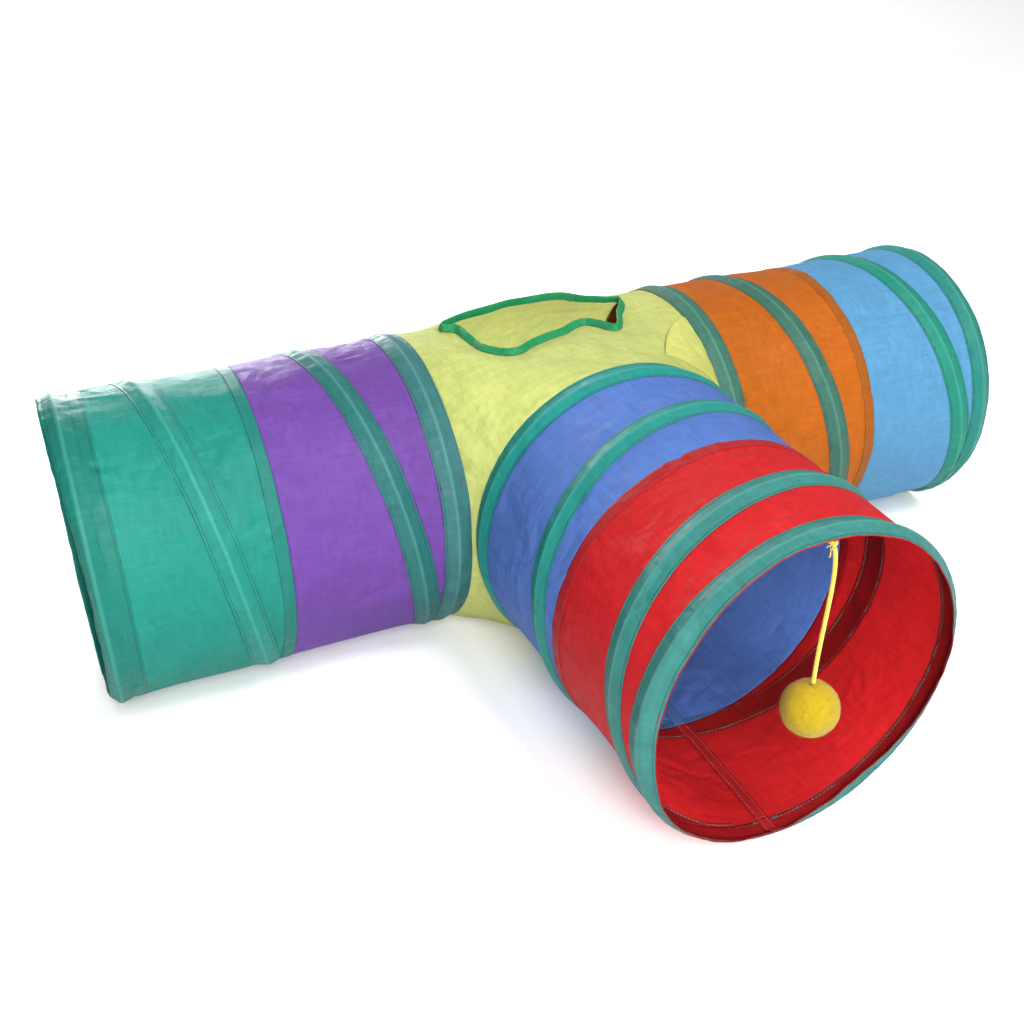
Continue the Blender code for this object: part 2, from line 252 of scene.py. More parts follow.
def make_creases(length, count, seed):
    """Crow's feet of fold marks on a tube's cloth: centre, direction, length, width and depth of each."""
    rng = np.random.default_rng(seed)
    found = []
    while len(found) < count:
        centre = rng.uniform((0, 0), (length, TURN * CLOTH_RADIUS))
        aim = rng.normal(0, 0.5)
        for _ in range(rng.integers(2, 5)):
            spot = centre + rng.normal(0, 0.009, 2)
            size = rng.uniform(0.012, 0.045)
            depth = rng.choice((-1, 1)) * rng.uniform(0.0005, 0.0014)
            way, width, bend = aim + rng.normal(0, 0.55), rng.uniform(0.0026, 0.0056), rng.normal(0, 9)
            found.append((*spot, way, size, width, depth, bend))
    return found


def crease_height(creases, along, around, wrap=TURN * CLOTH_RADIUS):
    """The sum of the creases' tent-shaped folds at those places on the unrolled cloth."""
    height = np.zeros(np.broadcast(along, around).shape)
    along, around = np.broadcast_arrays(along, around)
    for x, y, aim, size, width, depth, bend in creases:
        dx = along - x
        dy = np.mod(around - y + wrap / 2, wrap) - wrap / 2
        near = (np.abs(dx) < size) & (np.abs(dy) < size)
        if not near.any():
            continue
        run = dx[near] * math.cos(aim) + dy[near] * math.sin(aim)
        off = dy[near] * math.cos(aim) - dx[near] * math.sin(aim) + bend * run * run
        fold = np.clip(1 - np.sqrt(off * off + 2.5e-7) / width, 0, 1)
        height[near] += depth * fold * np.clip(1 - (2 * run / size) ** 2, 0, 1)
    return height


def cloth_radius(arm, station, angle):
    """The outer radius of the arm's cloth, which sags between the wires, and puckers beside the tapes."""
    station, angle = np.broadcast_arrays(np.asarray(station, float), np.asarray(angle, float))
    wires = wires_at(arm, angle)
    sag = np.zeros(station.shape)
    nearest = np.full(station.shape, 1.0)
    for wire in wires:
        nearest = np.minimum(nearest, np.abs(station - wire))
    for start, end in zip(wires, wires[1:]):
        gap = np.maximum(end - start, 1e-4)
        share = np.clip((station - start) / gap, 0, 1)
        sag += 4 * share * (1 - share) * SAG * (gap / SAG_SPAN) ** 1.3
    x, y = CLOTH_RADIUS * np.cos(angle), CLOTH_RADIUS * np.sin(angle)
    points = layers(x, y, station)
    radial = layers(x, y, station * 0.3)
    seed = sum(map(ord, arm["name"]))
    loose = np.clip((nearest - 0.002) / 0.02, 0, 1)
    free = np.clip((nearest - 1.1 * TAPE_HALF) / 0.009, 0, 1)
    buckle = 0.0010 * smooth_noise(points, 0.055, seed) + 0.0005 * smooth_noise(points, 0.03, seed + 1)
    beside = free * np.exp(-((nearest - 1.6 * TAPE_HALF) / 0.012) ** 2)
    pucker = 0.0005 * smooth_noise(radial, 0.0085, seed + 2)
    folds = crease_height(arm["creases"], station - arm["hub_tape"], np.mod(angle, TURN) * CLOTH_RADIUS)
    return CLOTH_RADIUS - sag + loose * buckle + free * folds + beside * pucker - 0.0002 * loose


def tent(distance):
    """How far a tape stands off the cloth at that distance from its wire."""
    rounded = np.sqrt(distance * distance + WIRE_RADIUS ** 2) - WIRE_RADIUS
    return RIDGE * np.clip(1 - rounded / RIDGE_HALF, 0, 1) ** 1.35


ARMS = [read_arm(name) for name in DIRECTIONS]
for arm in ARMS:
    arm["creases"] = make_creases(arm["mouth"] - arm["hub_tape"], 210, 11 + len(arm["name"]))


# Meshes

def new_object(name, mesh, material):
    obj = bpy.data.objects.new(name, mesh)
    bpy.context.scene.collection.objects.link(obj)
    mesh.materials.append(material)
    mesh.shade_smooth()
    return obj


def new_mesh(name, points, faces):
    mesh = bpy.data.meshes.new(name)
    mesh.from_pydata(points.reshape(-1, 3).tolist(), [], faces)
    return mesh


def mesh_from(bm, name):
    """The bmesh as a mesh. The bmesh is freed."""
    mesh = bpy.data.meshes.new(name)
    bm.to_mesh(mesh)
    bm.free()
    return mesh


def edit_mesh(mesh, edit):
    bm = bmesh.new()
    bm.from_mesh(mesh)
    edit(bm)
    bm.to_mesh(mesh)
    bm.free()


def drop_loose_points(bm):
    bmesh.ops.delete(bm, geom=[v for v in bm.verts if not v.link_faces], context="VERTS")


def face_outwards(bm):
    bmesh.ops.recalc_face_normals(bm, faces=bm.faces)


def settle(body, slot, *pieces):
    """Lets the pieces ride on a body. The slot is not used."""
    for piece in pieces:
        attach(piece, body)


def sheet_mesh(name, points, uv=None, closed=False, keep=None, sewing=None):
    """A sheet through a grid of points, rows by columns. closed joins the last column to the first.

    uv, in metres along and across the cloth, and sewing are given per point. keep says which quads are kept.
    """
    rows, columns = points.shape[:2]
    quads = grid_quads(rows, columns, round_columns=closed)
    if keep is not None:
        quads = quads[keep]
    quads = quads.reshape(-1, 4)
    mesh = new_mesh(name, points, quads.tolist())
    if uv is not None:
        add_uv(mesh, "cloth", uv, quads, columns)
    if sewing is not None:
        add_uv(mesh, "sewing", sewing, quads, columns)
    if keep is not None:
        edit_mesh(mesh, drop_loose_points)
    return mesh


def add_uv(mesh, name, uv, quads, columns):
    """uv is per point, in metres. Quads across the closing column take the length of a full turn more."""
    flat = uv.reshape(-1, 2)
    corners = flat[quads].copy()
    if name == "cloth":
        last = (quads % columns == columns - 1).any(axis=1) & (quads % columns == 0).any(axis=1)
        step = flat[1, 1] - flat[0, 1]
        wrapped = last[:, None] & (quads % columns == 0)
        corners[..., 1] = np.where(wrapped, flat[columns - 1, 1] + step, corners[..., 1])
    layer = mesh.uv_layers.new(name=name)
    layer.data.foreach_set("uv", corners.astype(np.float32).ravel())


def thicken(obj, offset=-1):
    """Gives a sheet its cloth's thickness: inwards from its points at offset -1, outwards at 1."""
    solid = obj.modifiers.new("cloth", "SOLIDIFY")
    solid.thickness = CLOTH
    solid.offset = offset
    return obj


def round_angles(steps=ROUND_STEPS):
    return np.arange(steps) * TURN / steps


def ring_sheet(arm, name, start, end, radius, material, steps=ROUND_STEPS, along_step=ALONG_STEP,
               wire=None):
    """A band of cloth round the arm. start and end are functions of angle, radius of station and angle.

    Its sewing coordinates are the distances from its border and from a wire: the tape's own wire, at that
    station, or the nearest one of the arm's.
    """
    angle = round_angles(steps)[None, :]
    first, last = start(angle), end(angle)
    rows = max(3, round(float(np.max(last - first)) / along_step) + 1)
    share = np.linspace(0, 1, rows)[:, None]
    station = first + share * (last - first)
    points = place(arm, station, radius(station, angle), angle)
    uv = layers(station, angle * CLOTH_RADIUS)
    border = np.minimum(station - first, last - station)
    wires = wires_at(arm, angle) if wire is None else [wire]
    nearest = np.min([np.abs(station - w) for w in wires], axis=0)
    mesh = sheet_mesh(name, points, uv, closed=True, sewing=layers(border, nearest))
    return thicken(new_object(name, mesh, material))


def edge(station, wave=0.0005, seed=5, slant=0):
    """A border near that station, as a function of angle, which wanders as hand-guided sewing does."""
    def at(angle):
        return station + wave * smooth_noise(on_circle(angle), 0.03, seed) + slant * np.sin(angle)
    return at


# Materials: all procedural

class Nodes:
    """Adds shader nodes to a material and links them in one call each."""

    def __init__(self, name):
        self.material = bpy.data.materials.new(name)
        self.material.use_nodes = True
        self.tree = self.material.node_tree
        self.tree.nodes.clear()
        self.out = self.tree.nodes.new("ShaderNodeOutputMaterial")

    def add(self, kind, settings=None, **inputs):
        node = self.tree.nodes.new("ShaderNode" + kind)
        for key, value in (settings or {}).items():
            setattr(node, key, value)
        for key, value in inputs.items():
            socket = node.inputs[key.replace("_", " ")]
            if isinstance(value, bpy.types.NodeSocket):
                self.tree.links.new(value, socket)
            else:
                socket.default_value = value
        return node

    def mix(self, factor, a, b, blend="MIX"):
        node = self.tree.nodes.new("ShaderNodeMix")
        node.data_type = "RGBA"
        node.blend_type = blend
        for index, value in ((0, factor), (6, a), (7, b)):
            if isinstance(value, bpy.types.NodeSocket):
                self.tree.links.new(value, node.inputs[index])
            else:
                node.inputs[index].default_value = value
        return node.outputs[2]

    def multiply(self, a, b):
        return self.mix(1.0, a, b, "MULTIPLY")

    def distance(self, axis):
        """X: the distance from the sheet's border. Y: the distance from its wire."""
        places = self.add("UVMap", {"uv_map": "sewing"}).outputs["UV"]
        return self.add("SeparateXYZ", Vector=places).outputs[axis]

    def finish(self, shader):
        self.tree.links.new(shader.outputs[0], self.out.inputs["Surface"])
        return self.material

    def ramp(self, value, stops):
        """A grey ramp through (position, brightness) stops."""
        node = self.add("ValToRGB", Fac=value)
        elements = node.color_ramp.elements
        for element, (position, grey) in zip(elements, stops):
            element.position = position
            element.color = (grey, grey, grey, 1)
        return node.outputs["Color"]


def shade(colour, amount):
    return (*(min(1, c * amount) for c in colour), 1)


STREAKS = ((45, 300, 120), (260, 60, 160))  # stretched noise, along and across the cloth
FOLD_CELLS = (19, 43)  # facets to a metre, of the large and of the small folds
WEAVE = 620
# Painted shade: how dark the shadow of a tape behind the cloth is painted into a panel's colour
TAPE_SHADOW_DARKNESS = 0.62  # how dark a tape behind the cloth makes it
GROOVE_TINT = (0.001, 0.040, 0.030, 1)
# Painted highlight: the colour of the light line along a tape's ridge over its wire
RIDGE_HIGHLIGHT_TINT = (0.25, 0.72, 0.60, 1)


def nylon(name, colour, see_through=0.55, crinkle=1.0, outer=None, wrap="UV", tape_shadowed=False):
    """Thin crinkled nylon taffeta: a fine weave, fold marks, and light that shows through from behind.

    outer is (station, colour): a tape takes that colour over the outer panel, which tints it from below.
    wrap names the coordinates that the weave and the long streaks follow. A panel may take painted shade
    where
    a tape lies behind it: the tape's shadow on the light that shows through, painted into its colour.
    """
    n = Nodes(name)
    where = n.add("TexCoord")
    spot = where.outputs["Object"]
    cloth = where.outputs[wrap]
    wander = n.add("TexNoise", Vector=spot, Scale=14, Detail=3.0)
    warped = n.mix(0.04, spot, wander.outputs["Color"], "ADD")
    fine = n.add("TexNoise", Vector=spot, Scale=150, Detail=4.0, Roughness=0.6)
    broad = n.add("TexNoise", Vector=spot, Scale=8, Detail=3.0)
    streaks = []
    for size in STREAKS:
        along = n.add("Mapping", Vector=cloth, Scale=size).outputs[0]
        streak = n.add("TexNoise", Vector=along, Scale=1.0, Detail=4.0, Distortion=0.5)
        streaks.append(streak.outputs["Fac"])
    patches = n.add("TexNoise", Vector=spot, Scale=17, Detail=2.0)
    sparse = n.ramp(patches.outputs["Fac"], ((0.40, 0.05), (0.62, 1)))
    folds = []
    for scale in FOLD_CELLS:
        cells = n.add("TexVoronoi", {"feature": "DISTANCE_TO_EDGE"}, Vector=warped, Scale=scale)
        folds.append(n.multiply(cells.outputs["Distance"], sparse))
    warp, weft = (
        n.add("TexWave", {"bands_direction": axis}, Vector=cloth, Scale=WEAVE, Distortion=0.6)
        for axis in ("X", "Y")
    )
    threads = n.mix(0.5, warp.outputs["Color"], weft.outputs["Color"])
    bump = n.add("Bump", Strength=0.3, Distance=0.00006, Height=threads)
    reliefs = ((fine.outputs["Fac"], 0.25, 0.0008), (streaks[0], 0.3, 0.0011), (streaks[1], 0.3, 0.0011),
               (folds[1], 0.35, 0.008), (folds[0], 0.35, 0.018))
    for height, strength, distance in reliefs:
        bump = n.add("Bump", Strength=strength * crinkle, Distance=distance, Height=height,
                     Normal=bump.outputs["Normal"])
    base = shade(colour, 1)
    if outer:
        station = n.add("SeparateXYZ", Vector=where.outputs["UV"]).outputs["X"]
        past = n.add("MapRange", Value=station, From_Min=outer[0] - 0.0015, From_Max=outer[0] + 0.0015)
        base = n.mix(past.outputs[0], base, shade(outer[1], 1))
    body = base
    # Painted crease shade: the two streak noises, which also bump the cloth, darken its colour in their
    # hollows. The broad noise is random tone.
    for source in (broad.outputs["Fac"], *streaks):
        body = n.multiply(body, n.ramp(source, ((0.3, 0.86), (0.7, 1.0))))
    if name.endswith("_tape"):
        body = sewn(n, body)
    # Painted shade: the panel's colour darkens where a tape lies behind it, for the tape's shadow
    if tape_shadowed:
        under = n.add("MapRange", Value=n.distance("Y"), From_Min=TAPE_HALF, From_Max=TAPE_HALF + 0.001,
                      To_Min=TAPE_SHADOW_DARKNESS, To_Max=1.0)
        body = n.multiply(body, under.outputs[0])
    body = n.mix(n.mix(0.9, threads, (0, 0, 0, 1)), body, n.multiply(body, (0.9, 0.9, 0.9, 1)))
    rough = n.ramp(fine.outputs["Fac"], ((0.3, 0.42), (0.7, 0.60)))
    front = n.add("BsdfPrincipled", Base_Color=body, Roughness=rough, Normal=bump.outputs["Normal"])
    front.inputs["Specular IOR Level"].default_value = 0.16
    lit = n.add("Gamma", Color=body, Gamma=0.55)
    behind = n.add("BsdfTranslucent", Color=lit.outputs["Color"], Normal=bump.outputs["Normal"])
    both = n.add("MixShader", Fac=see_through)
    n.tree.links.new(front.outputs[0], both.inputs[1])
    n.tree.links.new(behind.outputs[0], both.inputs[2])
    return n.finish(both)


def sewn(n, body):
    """A tape's colour, with the painted shadow of its sunk stitches and a painted highlight on its wire's
    ridge.
    """
    groove = n.add("Math", {"operation": "COMPARE"}, Value=n.distance("X"))
    groove.inputs[1].default_value = STITCH_INSET
    groove.inputs[2].default_value = 0.0005
    body = n.mix(n.multiply(groove.outputs[0], (0.45, 0.45, 0.45, 1)), body, GROOVE_TINT)
    # Painted highlight: a lighter line along the ridge over the tape's wire
    ridge = n.add("MapRange", Value=n.distance("Y"), From_Min=0.0004, From_Max=0.0018, To_Min=0.09,
                  To_Max=0.0)
    return n.mix(ridge.outputs[0], body, RIDGE_HIGHLIGHT_TINT)


def plain_fibre(name, colour, scale, bump_distance, sheen=0.3, roughness=0.8):
    """Thread, cord or felt: matte fibres whose colour varies a little."""
    n = Nodes(name)
    spot = n.add("TexCoord").outputs["Object"]
    fibres = n.add("TexNoise", Vector=spot, Scale=scale, Detail=6.0, Roughness=0.7, Distortion=0.6)
    broad = n.add("TexNoise", Vector=spot, Scale=scale / 12, Detail=2.0)
    tone = n.mix(fibres.outputs["Fac"], shade(colour, 0.72), shade(colour, 1.22))
    tone = n.mix(broad.outputs["Fac"], n.mix(0.35, tone, shade(colour, 0.8)), tone)
    bump = n.add("Bump", Strength=0.6, Distance=bump_distance, Height=fibres.outputs["Fac"])
    rough = n.ramp(fibres.outputs["Fac"], ((0.2, roughness - 0.1), (0.8, min(1, roughness + 0.1))))
    shader = n.add("BsdfPrincipled", Base_Color=tone, Roughness=rough, Normal=bump.outputs["Normal"])
    shader.inputs["Sheen Weight"].default_value = sheen
    shader.inputs["Sheen Roughness"].default_value = 0.5
    shader.inputs["Specular IOR Level"].default_value = 0.25
    return n.finish(shader)


def steel(name):
    n = Nodes(name)
    spot = n.add("TexCoord").outputs["Object"]
    drawn = n.add("TexNoise", Vector=spot, Scale=900, Detail=3.0)
    stain = n.add("TexNoise", Vector=spot, Scale=60, Detail=4.0)
    tone = n.mix(stain.outputs["Fac"], (0.42, 0.43, 0.45, 1), (0.68, 0.69, 0.71, 1))
    rough = n.ramp(drawn.outputs["Fac"], ((0.3, 0.22), (0.7, 0.38)))
    bump = n.add("Bump", Strength=0.3, Distance=0.00005, Height=drawn.outputs["Fac"])
    shader = n.add("BsdfPrincipled", Base_Color=tone, Roughness=rough, Normal=bump.outputs["Normal"])
    shader.inputs["Metallic"].default_value = 1.0
    return n.finish(shader)


COLOURS = {
    "sea_green": (0.026, 0.335, 0.275), "purple": (0.215, 0.090, 0.430), "orange": (0.600, 0.165, 0.014),
    "light_blue": (0.140, 0.395, 0.640), "royal_blue": (0.120, 0.240, 0.620), "red": (0.630, 0.020, 0.024),
    "lime": (0.650, 0.700, 0.240),
}
TAPE_COLOURS = {  # hub, coil over the inner panel, coil over the outer panel, rim
    "left": ((0.040, 0.160, 0.162), (0.024, 0.145, 0.140), (0.016, 0.235, 0.190), (0.009, 0.180, 0.142)),
    "right": ((0.048, 0.155, 0.112), (0.042, 0.140, 0.102), (0.016, 0.235, 0.168), (0.020, 0.215, 0.180)),
    "front": ((0.014, 0.235, 0.205), (0.018, 0.225, 0.195), (0.036, 0.195, 0.175), (0.036, 0.190, 0.170)),
}
CLOTHS = {
    name: nylon(name, colour, wrap="Object") if name == "lime" else nylon(name, colour, tape_shadowed=True)
    for name, colour in COLOURS.items()
}
# Painted shade: each seam strip is its panel's cloth with the colour darkened to 0.56, for the shade of the
# doubled layer.
SEAMS = {
    name: nylon(f"{name}_seam", tuple(c * 0.56 for c in colour), 0.3, 0.6)
    for name, colour in COLOURS.items()
}
TAPES = {}
for arm in ARMS:
    hub, inner, outer, rim = TAPE_COLOURS[arm["name"]]
    over = (arm["seam"], outer)
    for part, colour, change in (("hub", hub, None), ("coil", inner, over), ("rim", rim, None)):
        name = f"{arm['name']}_{part}"
        TAPES[name] = nylon(f"{name}_tape", colour, 0.25, 0.9, change)
THREAD_COLOURS = {"tape": (0.008, 0.120, 0.095)}
THREAD_COLOURS.update((name, tuple(c * 0.45 for c in colour)) for name, colour in COLOURS.items())
THREADS = {
    name: plain_fibre(f"{name}_thread", colour, 1500, 0.0001) for name, colour in THREAD_COLOURS.items()
}
BINDING = nylon("green_binding", (0.010, 0.200, 0.064), 0.1, wrap="Object")
# Painted shade: the flap is the hub's lime cloth laid double, in a darker colour for the shade of the
# doubled layer.
FLAP_CLOTH = nylon("lime_flap", (0.600, 0.620, 0.170), 0.35, wrap="Object")
STEEL = steel("spring_steel")
CORD = plain_fibre("yellow_cord", (0.520, 0.390, 0.040), 900, 0.0003)
FELT = plain_fibre("yellow_felt", (0.300, 0.210, 0.001), 420, 0.0008, sheen=0.1, roughness=0.9)


# Stitches

def stitch_mesh(name, path, outward):
    """Short threads along a path of points, each half sunk in the cloth. outward is each point's normal."""
    steps = np.linalg.norm(np.diff(path, axis=0), axis=1)
    length = np.concatenate(((0,), np.cumsum(steps)))
    starts = np.arange(0.0, length[-1] - STITCH_LENGTH, STITCH_PITCH)

    def along(values, distance):
        return np.stack([np.interp(distance, length, values[:, k]) for k in range(3)], axis=-1)

    a, b = along(path, starts), along(path, starts + STITCH_LENGTH)
    up = unit(along(outward, starts + STITCH_LENGTH / 2))
    side = np.cross(unit(b - a), up)
    points = []
    for share in (0.25, 0.75):
        centre = a + share * (b - a)
        for x, y in ((1, 0), (0, 1), (-1, 0), (0, -1)):
            points.append(centre + STITCH_RADIUS * (x * side + y * up))
    points += [a - 0.5 * STITCH_RADIUS * up, b - 0.5 * STITCH_RADIUS * up]
    template = [(k, (k + 1) % 4, 4 + (k + 1) % 4, 4 + k) for k in range(4)]
    tips = [((k + 1) % 4, k, 8) for k in range(4)] + [(4 + k, 4 + (k + 1) % 4, 9) for k in range(4)]
    return new_mesh(name, np.stack(points, axis=1), repeated(template + tips, len(points), len(starts)))


def repeated(faces, step, count):
    """The faces of count equal pieces, each with that many points."""
    return [tuple(step * k + i for i in face) for k in range(count) for face in faces]


def join(name, objects):
    """Joins meshes into the first object, which takes the name."""
    first, *others = objects

    def take_in(bm):
        for other in others:
            bm.from_mesh(other.data)

    edit_mesh(first.data, take_in)
    for other in others:
        bpy.data.objects.remove(other)
    first.data.shade_smooth()
    first.name = name
    return first


def stitch_row(arm, station, radius, angle, material, way=1):
    """One row of stitches. way is 1 on the outside of the arm, -1 on its inside."""
    outward = place(arm, 0, 1.0, angle) - arm["centre"]
    return new_object("row", stitch_mesh("row", place(arm, station, radius, angle), way * outward), material)


def ring_stitches(arm, name, lines, radius, material):
    """Rows of stitches round the arm. Each line is a function of angle, which gives its stations."""
    angle = np.linspace(0, TURN, 721)
    rows = [stitch_row(arm, line(angle), radius(line(angle), angle), angle, material) for line in lines]
    return join(name, rows)


# Panels

def on_side(arm, piece, side):
    """Lets a piece ride at that side, on a mesh of its own."""
    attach(piece, "hub" if side == "hub" else f"{arm['name']}_rim")
    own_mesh(piece)


def add_panels(arm):
    name = arm["name"]
    hub_end, seam, rim_start = arm["hub_tape_end"] - 0.001, arm["seam"], arm["rim_tape"] + 0.001
    inner, outer = PANELS[name]

    def radius(station, angle):
        return cloth_radius(arm, station, angle)

    spans = {
        "hub_band": (arm["hub_tape"] + 0.0005, hub_end, inner),
        "inner_cloth": (hub_end, seam, inner),
        "outer_cloth": (seam, rim_start, outer),
        "mouth_band": (rim_start, arm["mouth"] + 0.0007, outer),
    }
    made = {}
    for part, (start, end, colour) in spans.items():
        last = edge(end, seed=10, slant=MOUTH_SLANT[name]) if part == "mouth_band" else edge(end, 0)
        piece = ring_sheet(arm, f"{name}_{part}", edge(start, 0), last, radius, CLOTHS[colour])
        made[part] = piece
    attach(made["hub_band"], "hub")
    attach(made["mouth_band"], f"{name}_rim")
    on_side(arm, made["inner_cloth"], "hub")
    on_side(arm, made["outer_cloth"], "rim")
    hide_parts(f"{name}_inner_panel")
    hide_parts(f"{name}_outer_panel")


def add_ring_seam(arm):
    """The felled seam between the two panels: a second layer with two rows of stitches."""
    name = arm["name"]
    outer = SEAM_SIDE[name] > 0
    colour = PANELS[name][1 if outer else 0]
    start = arm["seam"] if outer else arm["seam"] - SEAM_WIDTH

    def radius(station, angle):
        return cloth_radius(arm, station, angle) + LAYER

    borders = edge(start, 0.0002), edge(start + SEAM_WIDTH, seed=6)
    strip = ring_sheet(arm, f"{name}_ring_seam", *borders, radius, SEAMS[colour], along_step=0.0015)
    lines = [edge(start + x, 0.0003, seed=7) for x in (0.0016, SEAM_WIDTH - 0.0018)]
    stitches = ring_stitches(arm, f"{name}_ring_seam_stitches", lines, radius, THREADS[colour])
    for piece in (strip, stitches):
        on_side(arm, piece, "rim" if outer else "hub")


def add_long_seam(arm):
    """The seam that closes each panel into a tube, along the bottom inside the arm."""
    name = arm["name"]
    sections = {
        "inner": (arm["hub_tape_end"], arm["seam"], PANELS[name][0], "hub"),
        "outer": (arm["seam"], arm["rim_tape"], PANELS[name][1], "rim"),
        "mouth": (arm["rim_tape"], arm["mouth"] - 0.002, PANELS[name][1], None),
    }
    middle, half = LONG_SEAM_ANGLE[name], 0.5 * SEAM_WIDTH / CLOTH_RADIUS

    def radius(station, angle):
        return cloth_radius(arm, station, angle) - CLOTH - LAYER

    for part, (start, end, colour, side) in sections.items():
        station = np.linspace(start, end, max(4, round((end - start) / ALONG_STEP)))[:, None]
        angle = np.linspace(middle + half, middle - half, 7)[None, :]
        points = place(arm, station, radius(station, angle), angle)
        mesh = sheet_mesh("seam", points, layers(station, angle * CLOTH_RADIUS))
        strip = thicken(new_object(f"{name}_{part}_long_seam", mesh, SEAMS[colour]), offset=1)
        rows = []
        for offset in (-0.62, 0.62):
            along = station[:, 0]
            line = np.full(along.shape, middle + offset * half)
            rows.append(stitch_row(arm, along, radius(along, line) - CLOTH, line, THREADS[colour], -1))
        stitches = join(f"{name}_{part}_long_seam_stitches", rows)
        for piece in (strip, stitches):
            if side:
                on_side(arm, piece, side)
            else:
                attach(piece, f"{name}_rim")


# Tapes and the wires in them

def coil_lift(arm, station, angle):
    """How far the coil tape's outer surface stands off the cloth, and 0 where there is none."""
    lift = np.zeros(np.broadcast(station, angle).shape)
    for wire in wires_at(arm, angle)[1:-1]:
        away = np.abs(station - wire)
        beneath = np.clip((TAPE_HALF + 0.0018 - away) / 0.002, 0, 1)
        lift = np.maximum(lift, beneath * (LAYER + tent(away)))
    return lift


def tape_ripple(arm, station, angle, away, seed):
    """Cross puckers between a tape's ridge and its stitched edges."""
    unrolled = layers(station * 0.3, angle * CLOTH_RADIUS, 0)
    share = np.clip(away / TAPE_HALF, 0, 1)
    groove = STITCH_GROOVE * np.exp(-((away - TAPE_HALF + STITCH_INSET) / 0.0011) ** 2)
    return 0.0004 * smooth_noise(unrolled, 0.006, seed) * 4 * share * (1 - share) - groove


def add_ring_tape(arm, side):
    name = arm["name"]
    ring = arm[f"{side}_ring"]
    if side == "hub":
        start, end, body = arm["hub_tape"] - 0.0012, arm["hub_tape_end"], "hub"
    else:
        start, end, body = arm["rim_tape"], arm["mouth"], f"{name}_rim"

    def radius(station, angle):
        away = np.abs(station - ring)
        own = LAYER + tent(away)
        over = coil_lift(arm, station, angle)
        lift = np.maximum(own, np.where(over > 0, over + LAYER, 0))
        return cloth_radius(arm, station, angle) + lift + tape_ripple(arm, station, angle, away, 40)

    slant = MOUTH_SLANT[name] if side == "rim" else 0
    borders = [edge(start, seed=9), edge(end, seed=10, slant=slant)]
    tape = ring_sheet(arm, f"{name}_{side}_tape_cloth", *borders, radius, TAPES[f"{name}_{side}"],
                      steps=480, along_step=0.0009, wire=ring)
    rows = [edge(start + 0.0021, seed=9), edge(end - STITCH_INSET, seed=10, slant=slant)]
    stitches = ring_stitches(arm, f"{name}_{side}_tape_stitches", rows, radius, THREADS["tape"])
    settle(body, "teal_tape", tape, stitches)
    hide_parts(f"{name}_{side}_tape")


def add_coil_tape(arm):
    name = arm["name"]
    steps = COIL_TURNS * 480
    turned = np.linspace(0, COIL_TURNS * TURN, steps + 1)[None, :]
    angle = arm["coil_angle"] + turned
    centre = coil_station(arm, turned)
    across = np.linspace(-1, 1, 25)[:, None]
    unrolled = layers(turned * CLOTH_RADIUS, 0, 0)
    borders = [TAPE_HALF + 0.0005 * smooth_noise(unrolled, 0.03, seed) for seed in (21, 22)]
    offset = np.where(across < 0, across * borders[0], across * borders[1])
    low, high = arm["hub_tape_end"] - 0.001, arm["rim_tape"] + 0.001
    station = np.clip(centre + offset, low, high)

    def radius(station, angle, away):
        ripple = tape_ripple(arm, station, angle, away, 41)
        return cloth_radius(arm, station, angle) + LAYER + tent(away) + ripple

    points = place(arm, station, radius(station, angle, np.abs(station - centre)), angle)
    inside = (centre + offset > low) & (centre + offset < high)
    keep = inside[:-1, :-1] | inside[1:, :-1] | inside[1:, 1:] | inside[:-1, 1:]
    uv = layers(station, turned * CLOTH_RADIUS)
    sewing = layers(np.minimum(offset + borders[0], borders[1] - offset), np.abs(offset))
    mesh = sheet_mesh("coil_tape", points, uv, keep=keep, sewing=sewing)
    tape = thicken(new_object(f"{name}_coil_tape_cloth", mesh, TAPES[f"{name}_coil"]))
    rows = []
    fine = np.linspace(0, COIL_TURNS * TURN, 4 * steps + 1)
    for border, sign in zip(borders, (-1, 1)):
        aside = sign * (np.interp(fine, turned[0], border[0]) - STITCH_INSET)
        along = coil_station(arm, fine) + aside
        shown = (along > low + 0.001) & (along < high - 0.001)
        along, aside, line = along[shown], aside[shown], arm["coil_angle"] + fine[shown]
        rows.append(stitch_row(arm, along, radius(along, line, np.abs(aside)), line, THREADS["tape"]))
    stitches = join(f"{name}_coil_tape_stitches", rows)
    for piece in (tape, stitches):
        on_side(arm, piece, "hub")
    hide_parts(f"{name}_coil_tape")


def tube_mesh(name, path, radius, sides=8):
    """A capped tube along a path. radius may be one number, or one for each side and point."""
    tangent = unit(np.gradient(path, axis=0))
    normal = np.cross(tangent[0], (0.3, 0.2, 0.9))
    frames = []
    for t in tangent:
        normal = unit(normal - t * (normal @ t))
        frames.append((normal, np.cross(t, normal)))
    turn = np.arange(sides) * TURN / sides
    radius = np.broadcast_to(radius, (len(path), sides))
    rings = [
        p + r[:, None] * (np.cos(turn)[:, None] * a + np.sin(turn)[:, None] * b)
        for p, r, (a, b) in zip(path, radius, frames)
    ]
    points = np.concatenate(rings + [path[:1], path[-1:]])
    count = len(path)
    faces = grid_quads(count, sides, round_columns=True)[..., [0, 3, 2, 1]].reshape(-1, 4).tolist()
    last = sides * (count - 1)
    faces += [((k + 1) % sides, k, count * sides) for k in range(sides)]
    faces += [(last + k, last + (k + 1) % sides, count * sides + 1) for k in range(sides)]
    return new_mesh(name, points, faces)


